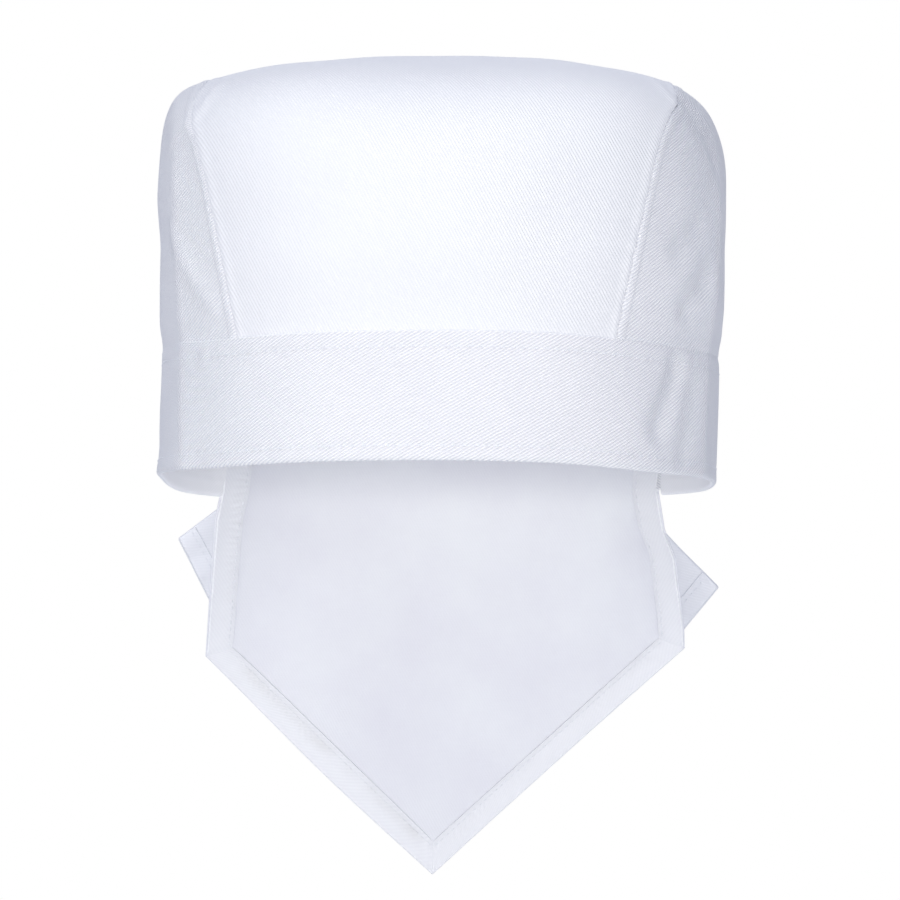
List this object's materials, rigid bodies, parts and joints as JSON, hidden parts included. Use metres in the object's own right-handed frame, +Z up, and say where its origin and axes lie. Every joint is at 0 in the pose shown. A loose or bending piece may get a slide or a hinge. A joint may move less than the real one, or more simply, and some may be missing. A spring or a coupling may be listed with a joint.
{
  "type": "chef's bandana cap",
  "caption": "Soft white cloth cap for kitchen wear: panelled crown on a folded headband, tied behind, with a pointed hemmed neck flap that swings.",
  "frame": {"origin": "middle of the head opening, in the plane of the band's lower edge", "axes": "+Z up towards the crown, -Y towards the wearer's forehead, +X to the right as seen from the front"},
  "size_m": [0.1761, 0.2248, 0.248],
  "materials": {
    "twill": "matte",
    "twill_inside": "matte",
    "interlining": "matte",
    "thread": "matte"
  },
  "bodies": {
    "cap": {"centre_panel": "twill", "left_side_panel": "twill", "right_side_panel": "twill", "left_seam_stitching": "thread", "right_seam_stitching": "thread", "band": "twill", "band_interlining": "interlining", "band_top_stitching": "thread", "band_bottom_stitching": "thread", "left_strap": "twill", "right_strap": "twill", "left_knot_turn": "twill", "right_knot_turn": "twill"},
    "neck_flap": {"flap_panel": "twill_inside", "flap_left_hem": "twill", "flap_right_hem": "twill", "flap_lower_left_hem": "twill", "flap_lower_right_hem": "twill"},
    "left_tie_base": {"left_tie_root": "twill"},
    "left_tie": {"left_tie_end": "twill", "left_tie_end_hem": "twill"},
    "right_tie_base": {"right_tie_root": "twill"},
    "right_tie": {"right_tie_end": "twill", "right_tie_end_hem": "twill"}
  },
  "joints": [
    {"name": "flap_swing", "type": "hinge", "parent": "cap", "child": "neck_flap", "pos_m": [0, 0.088, -0.002], "axis": [1, 0, 0], "range_deg": [0, 55]},
    {"name": "left_tie_lift", "type": "hinge", "parent": "cap", "child": "left_tie_base", "pos_m": [-0.0176, 0.11474, 0.00848], "axis": [1, 0, 0], "range_deg": [0, 48]},
    {"name": "left_tie_swing", "type": "hinge", "parent": "left_tie_base", "child": "left_tie", "pos_m": [-0.0226, 0.11474, 0.005], "axis": [0, -1, 0], "range_deg": [-20, 40]},
    {"name": "right_tie_lift", "type": "hinge", "parent": "cap", "child": "right_tie_base", "pos_m": [0.0176, 0.11952, 0.01874], "axis": [1, 0, 0], "range_deg": [0, 48]},
    {"name": "right_tie_swing", "type": "hinge", "parent": "right_tie_base", "child": "right_tie", "pos_m": [0.0214, 0.11952, 0.014], "axis": [0, 1, 0], "range_deg": [-20, 40]}
  ],
  "couplings": [
    {"joint": "left_tie_lift", "follows": "flap_swing", "ratio": 0.8},
    {"joint": "right_tie_lift", "follows": "flap_swing", "ratio": 0.8}
  ]
}
